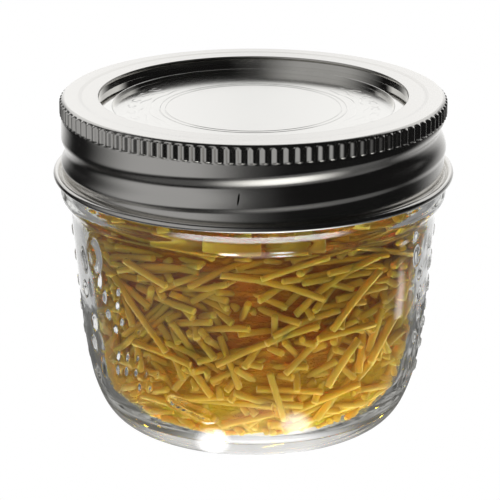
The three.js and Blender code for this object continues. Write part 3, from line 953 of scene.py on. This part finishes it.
def plated(name, sizes, patch_scale, patch_tone, grain_scale, grain_depth):
    """The shader of a plated sheet with its fine grain, and its patchy colour and roughness."""
    shader = Shader(name)
    patches = shader.noise(patch_scale, 2.0)
    plate = shader.mix(patches, toned(sizes.metal, (patch_tone,) * 3), rgba(sizes.metal))
    dull = shader.span(patches, 0.3, 0.7, sizes.roughness - 0.02, sizes.roughness + 0.02)
    shader.set({"Metallic": 1.0, "Normal": shader.bump(shader.noise(grain_scale, 2.0), grain_depth)})
    return shader, plate, dull


def lid_material(sizes):
    shader, plate, dull = plated("lid_plate", sizes, 90.0, 0.96, 6000.0, 0.0015 * MM)
    # The wall and the ring round the panel are smoother than the panel.
    above_panel = shader.span(shader.axes()["Z"], TOP - 2.7 * MM, TOP - 2.6 * MM, 0.0, -0.08)
    shader.set({"Base Color": plate, "Roughness": shader.plus(dull, above_panel)})
    return shader.material


# ---- Screw band ----

BAND_RADIUS = 35.25 * MM
BAND_COLUMNS_PER_RIB = 12
BAND_PLAIN_STEP = 6  # columns to one below the ribs
INNER_CORNER = (0.5 * MM, 48.0 * MM)  # how far the wall leans in under the ribs, and from which height
INNER_FOOT = 46.9 * MM
FLANGE_INNER_RADIUS = 28.4 * MM
FLANGE_CREASE_RADIUS = 31.8 * MM
FLANGE_DIP = 0.12 * MM
EDGE_ROUND = 0.85 * MM
KNURL_WALL_FOOT = 57.0 * MM
KNURL_BOTTOM = 57.7 * MM
KNURL_TOP = 60.6 * MM
KNURL_RADIUS = 35.2 * MM
GROOVE_UPPER = 1.38 * MM  # half the height of the groove's steep upper side
GROOVE_TURNS = (-0.67, 0.42)  # where it starts and ends, from the front
GROOVE_FADES = (0.2, 0.17)  # turns over which it starts and ends
GROOVE_LEAST_SLOPE = 1.0 * MM  # height of the long slope where it is shortest
LIP_LEVEL = 49.6 * MM
LIP_SLANT = 1.4 * MM
LIP_HALF = 0.65 * MM
LIP_FADE = (51.0 * MM, 56.0 * MM)
BEAD_SIZE = 1.2 * MM
BEAD_ARC = (-130, 170)  # degrees: from the inside, below and outside, to the crevice under the wall
DARK_MARK_PLACE = (-2.5 * MM, 51.5 * MM)  # x and z
DARK_MARK_SIZE = (0.19 * MM, 0.95 * MM)
DARK_MARK_LEAN = 0.15
DARK_MARK_COLOUR = (0.03, 0.028, 0.025, 1.0)


def groove_share(angle, height, settings):
    """Share (0 to 1) of the rolled groove's depth: a steep side above, a long slope down to the lip."""
    turns = angle / TURN
    lip = LIP_LEVEL + LIP_SLANT * np.sin(angle) + LIP_HALF
    share = np.zeros_like(turns)
    for whole in (0, -1):
        along = turns + whole
        side = settings.groove_height + settings.pitch * along
        bottom = np.maximum(side - GROOVE_UPPER, lip + GROOVE_LEAST_SLOPE)
        upper = smooth(side - height, -GROOVE_UPPER, GROOVE_UPPER)
        lower = smooth((height - lip) / (bottom - lip), 0.0, 1.0)
        ends = smooth(along, GROOVE_TURNS[0], GROOVE_TURNS[0] + GROOVE_FADES[0])
        ends = ends * smooth(GROOVE_TURNS[1] - along, 0.0, GROOVE_FADES[1])
        share = np.maximum(share, upper * lower * ends)
    return share


def lip_share(angle, height):
    """Share of the lip's rise: a short step out below the groove, fading away further up."""
    lip = LIP_LEVEL + LIP_SLANT * np.sin(angle)
    return smooth(height, lip - LIP_HALF, lip + LIP_HALF) * (1.0 - smooth(height, *LIP_FADE))


def rib_share(angle, height, ribs):
    """Share of the height of the knurl's waves, and the share that fades them out at the top edge."""
    rib = 0.5 + 0.5 * np.cos(ribs * angle)
    foot = smooth(height, KNURL_BOTTOM - 0.25 * MM, KNURL_BOTTOM + 0.2 * MM)
    return rib * foot, smooth(KNURL_TOP - height, 0.0, 0.5 * MM)


class NOODLEJAR_OT_band(bpy.types.Operator):
    """Build the screw band: flange, knurl, rolled screw groove and foot bead"""

    bl_idname = "noodlejar.band"
    bl_label = "Screw Band"

    def execute(self, context):
        sizes = context.scene.noodle_jar.band
        dip = TOP - FLANGE_DIP
        inner = BAND_RADIUS - sizes.sheet
        edge_top = TOP - EDGE_ROUND
        bead_centre = (BEAD_RADIUS - BEAD_SIZE / 2, BEAD_BOTTOM + BEAD_SIZE / 2)
        corner = (inner - INNER_CORNER[0], edge_top)
        inside = [(FLANGE_INNER_RADIUS + 0.1 * MM, dip - sizes.sheet),
                  (inner - EDGE_ROUND, dip - sizes.sheet), corner]
        inside += straight(corner, (inner, INNER_CORNER[1]), 40)
        inside += [(inner, INNER_FOOT), (bead_centre[0] - 0.5 * MM, bead_centre[1] - 0.2 * MM)]
        bead = elliptic(bead_centre, (BEAD_SIZE / 2, BEAD_SIZE / 2), *BEAD_ARC, 20)
        crevice = [(BAND_RADIUS + 0.3 * MM, bead_centre[1] - 0.12 * MM),
                   (BAND_RADIUS, bead_centre[1] + 0.03 * MM)]
        wall = straight(crevice[-1], (BAND_RADIUS, KNURL_WALL_FOOT), 86)
        knurl = straight(wall[-1], (KNURL_RADIUS, edge_top), 24)
        edge = elliptic((KNURL_RADIUS - EDGE_ROUND, edge_top), (EDGE_ROUND, EDGE_ROUND), 6, 90, 14)
        flange = [(33.0 * MM, TOP), (FLANGE_CREASE_RADIUS + 0.3 * MM, TOP)]
        flange += bezier([(FLANGE_CREASE_RADIUS + 0.1 * MM, TOP), (FLANGE_CREASE_RADIUS - 0.2 * MM, dip),
                          (FLANGE_CREASE_RADIUS - 0.6 * MM, dip)], 5)
        flange += [(30.0 * MM, dip), (FLANGE_INNER_RADIUS + 0.3 * MM, dip)]
        flange += bezier([(FLANGE_INNER_RADIUS + 0.12 * MM, dip), (FLANGE_INNER_RADIUS, dip),
                          (FLANGE_INNER_RADIUS, dip - 0.08 * MM)], 4)
        flange += [(FLANGE_INNER_RADIUS, dip - sizes.sheet)]
        profile = inside + bead + supported(crevice + wall + knurl + edge + flange)

        def move(angle, radius, height):
            on_wall = height > BEAD_BOTTOM + BEAD_SIZE
            groove = sizes.groove_depth * groove_share(angle, height, sizes)
            groove = (groove - sizes.lip * lip_share(angle, height)) * on_wall
            ribs, under_edge = rib_share(angle, height, sizes.ribs)
            in_knurl = smooth(height, KNURL_BOTTOM - 0.4 * MM, KNURL_BOTTOM)
            outside = on_wall & (radius > inner + 0.05 * MM)
            knurl_move = under_edge * (sizes.rib_height * ribs - sizes.rib_foot * in_knurl)
            return radius - groove + np.where(outside, knurl_move, 0.0), height

        def is_knurled(radius, height):
            return radius > inner + 0.05 * MM and KNURL_BOTTOM - 0.5 * MM < height < KNURL_TOP + 0.1 * MM

        columns = sizes.ribs * BAND_COLUMNS_PER_RIB
        band = turned("screw_band_metal", profile, columns, move, True, is_knurled, BAND_PLAIN_STEP)
        finished(band, band_material(sizes), "screw_band")
        return {"FINISHED"}


def band_material(sizes):
    shader, plate, dull = plated("band_plate", sizes, 140.0, 0.92, 4000.0, 0.004 * MM)
    # A short dark oval mark in the base colour on the front of the skirt, left of the middle.
    x, y, z = shader.axes()
    up = shader.minus(z, DARK_MARK_PLACE[1])
    lean = shader.times(up, DARK_MARK_LEAN)
    across = shader.minus(shader.minus(x, DARK_MARK_PLACE[0]), lean)
    across = shader.math("DIVIDE", across, DARK_MARK_SIZE[0])
    out = shader.squares(across, shader.math("DIVIDE", up, DARK_MARK_SIZE[1]))
    front = shader.math("LESS_THAN", y, 0.0)
    dark_mark = shader.times(shader.span(out, 0.5, 1.2, 1.0, 0.0), front)
    shader.set({"Base Color": shader.mix(dark_mark, plate, DARK_MARK_COLOUR), "Roughness": dull})
    return shader.material


# ---- Stage ----

# Round lamps: name, diameter, place, turn in degrees about x, y and z, and power.
SOFT_LIGHTS = (
    ("base_light", 78 * MM, (2 * MM, -2 * MM, 0.2 * MM), (180, 0, 0), 1.4),
    ("front_light", 400 * MM, (50 * MM, -400 * MM, 160 * MM), (72, 0, 7), 0.25),
)
# Round patches of painted light and shade on the floor: x, y, radius of the full patch and radius where it
# ends, in millimetres.
# The floor under the jar, where it has painted shade.
PAINTED_SHADE_UNDER_JAR = (0, 0, 27, 34)
PAINTED_BRIGHT_PATCH = (3, -22, 5, 20)  # a painted bright patch under the jar
PAINTED_LIGHT_POOL = (14, -40, 12, 46)  # a painted pool of light in front of the jar, where the band reflects it
# Painted glare on the floor that only crisp reflections show, each patch with its share.
PAINTED_GLARES = (((3, -34, 9, 15), 0.1), ((11.5, -35.5, 2, 6), 1.0), ((-8.5, -30, 1.5, 5), 1.0))
FLOOR_STEPS = 96
CAMERA_PITCH = math.radians(19.54)
CAMERA_YAW = math.radians(0.109)


class NOODLEJAR_OT_stage(bpy.types.Operator):
    """Lay the pale floor, set the studio light and place the camera"""

    bl_idname = "noodlejar.stage"
    bl_label = "Stage"

    def execute(self, context):
        settings = context.scene.noodle_jar.stage
        lay_floor(settings)
        set_studio_light(context.scene)
        for light in SOFT_LIGHTS:
            add_soft_light(*light)
        place_camera(context.scene, settings)
        return {"FINISHED"}


def lay_floor(settings):
    # The floor shows plain white to the camera. To other rays it glows with painted light and shade: a
    # painted pool of light in front, painted shade under the jar with a painted bright patch, and painted
    # glare spots that only crisp reflections show.
    radius = settings.floor_radius
    angles = [TURN * k / FLOOR_STEPS for k in range(FLOOR_STEPS)]
    ring = [(radius * math.cos(a), radius * math.sin(a), 0.0) for a in angles]
    floor = make_object("pale_floor", ring, [tuple(range(FLOOR_STEPS))], False)
    shader = Shader("floor_glow")
    paths, mirrored, refracted = shader.rays()
    axes = shader.axes()

    def spot(x, y, near, far):
        """1 within near of the place, 0 beyond far."""
        out = shader.squares(shader.plus(axes["X"], -x * MM), shader.plus(axes["Y"], -y * MM))
        return shader.span(shader.math("SQRT", out), near * MM, far * MM, 1.0, 0.0)

    # Under the jar: painted shade with a painted bright patch in it.
    under = shader.mix(spot(*PAINTED_BRIGHT_PATCH), rgba(settings.shaded_floor_colour), grey(0.85))
    # A painted pool of light in front of the jar, which crisp reflections do not show.
    lit = shader.times(spot(*PAINTED_LIGHT_POOL), shader.minus(1.0, mirrored))
    painted_pool = shader.mix(lit, grey(0.09), (1.7, 1.7, 1.65, 1.0))
    outside = shader.mix(refracted, painted_pool, (0.14, 0.14, 0.135, 1.0))
    ground = shader.mix(spot(*PAINTED_SHADE_UNDER_JAR), outside, under)
    # Painted glare spots, which only crisp reflections show.
    painted_glare = 0.0
    for place, share in PAINTED_GLARES:
        painted_glare = shader.math("MAXIMUM", painted_glare, shader.times(spot(*place), share))
    ground = shader.mix(shader.times(painted_glare, mirrored), ground, grey(13.0))
    painted_glow = shader.mix(paths["Is Camera Ray"], ground, grey(1.0))
    shader.set({
        "Base Color": grey(0.0),
        "Specular IOR Level": 0.0,
        "Emission Color": painted_glow,
        "Emission Strength": 1.0,
    })
    floor.data.materials.append(shader.material)


# Soft cards of light round the jar: azimuths from the front towards the right and heights, in degrees,
# each [from, to, softness], then the strength.
CARDS = (
    ((-95, -15, 24), (-34, 52, 10), 0.39),
    ((-95, 2, 26), (-34, 52, 10), 0.1),
    ((-20, 110, 20), (-60, -34, 6), 0.12),
    ((146, 190, 40), (-120, 4, 8), 1.14),
    ((152, 190, 20), (-120, 52, 18), 1.14),
    ((-190, -154, 20), (-120, 52, 18), 1.14),
    ((118, 190, 8), (15, 48, 2), 0.8),
    ((-190, -126, 6), (15, 48, 2), 0.8),
)
# Bright strips that show only as crisp reflections in the glass.
STRIPS = (
    ((-46, 54, 10), (18, 36, 3), 12.0),
    ((109, 117, 3), (-28, -24.8, 0.6), 3.2),
)
# What shows through the clear glass.
THROUGH_GLASS = (
    ((138, 190, 14), (-60, 60, 15), 0.68),
    ((98, 190, 14), (-60, 60, 15), 0.26),
    ((-190, -138, 14), (-60, 60, 15), 0.68),
    ((-190, -98, 14), (-60, 60, 15), 0.26),
    ((-190, 190, 10), (-120, -52, 8), 1.0),
)
DARKNESS_THROUGH_GLASS = 0.16
DARKNESS = 0.008


def set_studio_light(scene):
    """A world of soft cards; the camera itself sees plain white."""
    world = bpy.data.worlds.new("studio")
    scene.world = world
    world.use_nodes = True
    world.node_tree.nodes.clear()
    studio = Nodes(world.node_tree, "Generated")
    x, y, z = studio.axes()
    azimuth = studio.math("ARCTAN2", x, studio.times(y, -1.0))
    height = studio.math("ARCSINE", z)

    def edge(source, middle, softness):
        """0 before the middle, 1 after it; a negative softness turns it round."""
        low, high = math.radians(middle - abs(softness)), math.radians(middle + abs(softness))
        return studio.span(source, low, high, float(softness < 0), float(softness > 0))

    def brightest(total, cards, shown=1.0):
        for (left, right, side_soft), (low, high, end_soft), strength in cards:
            sides = studio.times(edge(azimuth, left, side_soft), edge(azimuth, right, -side_soft))
            ends = studio.times(edge(height, low, end_soft), edge(height, high, -end_soft))
            card = studio.times(studio.times(sides, ends), strength)
            total = studio.math("MAXIMUM", total, studio.times(card, shown))
        return total

    paths, mirrored, refracted = studio.rays()
    total = brightest(brightest(DARKNESS, CARDS), STRIPS, mirrored)
    through_glass = brightest(DARKNESS_THROUGH_GLASS, THROUGH_GLASS)
    change = studio.times(studio.minus(through_glass, total), refracted)
    total = studio.plus(total, change)
    lit = studio.node("ShaderNodeBackground", {"Color": grey(1.0), "Strength": total}).outputs[0]
    white = studio.node("ShaderNodeBackground", {"Color": grey(1.0)}).outputs[0]
    surface = studio.choice(paths["Is Camera Ray"], lit, white)
    studio.node("ShaderNodeOutputWorld", {"Surface": surface})
    scene.view_settings.view_transform = "Standard"


def add_soft_light(name, size, place, turn, power):
    """A round lamp that lights the noodles through the glass, but shows in no reflection."""
    data = bpy.data.lights.new(name, "AREA")
    data.shape = "DISK"
    data.size = size
    data.energy = power
    lamp = bpy.data.objects.new(name, data)
    lamp.location = place
    lamp.rotation_euler = Euler([math.radians(angle) for angle in turn])
    lamp.visible_camera = False
    lamp.visible_glossy = False
    lamp.visible_transmission = False
    bpy.context.scene.collection.objects.link(lamp)


def place_camera(scene, settings):
    data = bpy.data.cameras.new("camera")
    data.lens = settings.focal_length
    data.clip_start = 0.01
    data.clip_end = 20.0
    camera = bpy.data.objects.new("camera", data)
    camera.location = (0.0, -settings.camera_distance, settings.camera_height)
    camera.rotation_euler = Euler((math.pi / 2 - CAMERA_PITCH, 0.0, CAMERA_YAW))
    scene.collection.objects.link(camera)
    scene.camera = camera


# ---- Panel and registration ----

OPERATORS = (
    NOODLEJAR_OT_stage,
    NOODLEJAR_OT_noodles,
    NOODLEJAR_OT_glass,
    NOODLEJAR_OT_lid,
    NOODLEJAR_OT_band,
)


class NOODLEJAR_PT_panel(bpy.types.Panel):
    """Lists the pieces of the jar and their settings"""

    bl_idname = "NOODLEJAR_PT_panel"
    bl_label = "Noodle Jar"
    bl_space_type = "VIEW_3D"
    bl_region_type = "UI"
    bl_category = "Noodle Jar"

    def draw(self, context):
        layout = self.layout
        for operator in OPERATORS:
            layout.operator(operator.bl_idname)
        settings = context.scene.noodle_jar
        for group in (settings.glass, settings.band, settings.lid, settings.noodles, settings.stage):
            box = layout.box()
            for name in group.bl_rna.properties.keys():
                if name not in ("rna_type", "name"):
                    box.prop(group, name)


CLASSES = (GlassSettings, BandSettings, LidSettings, NoodleSettings, StageSettings, NoodleJarSettings,
           *OPERATORS, NOODLEJAR_PT_panel)


def register():
    for cls in CLASSES:
        bpy.utils.register_class(cls)
    bpy.types.Scene.noodle_jar = PointerProperty(type=NoodleJarSettings)


def unregister():
    del bpy.types.Scene.noodle_jar
    for cls in reversed(CLASSES):
        bpy.utils.unregister_class(cls)


def main():
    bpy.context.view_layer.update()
    register()
    bpy.ops.noodlejar.stage()
    bpy.ops.noodlejar.noodles()
    bpy.ops.noodlejar.glass()
    bpy.ops.noodlejar.lid()
    bpy.ops.noodlejar.band()


if __name__ == "__main__":
    main()
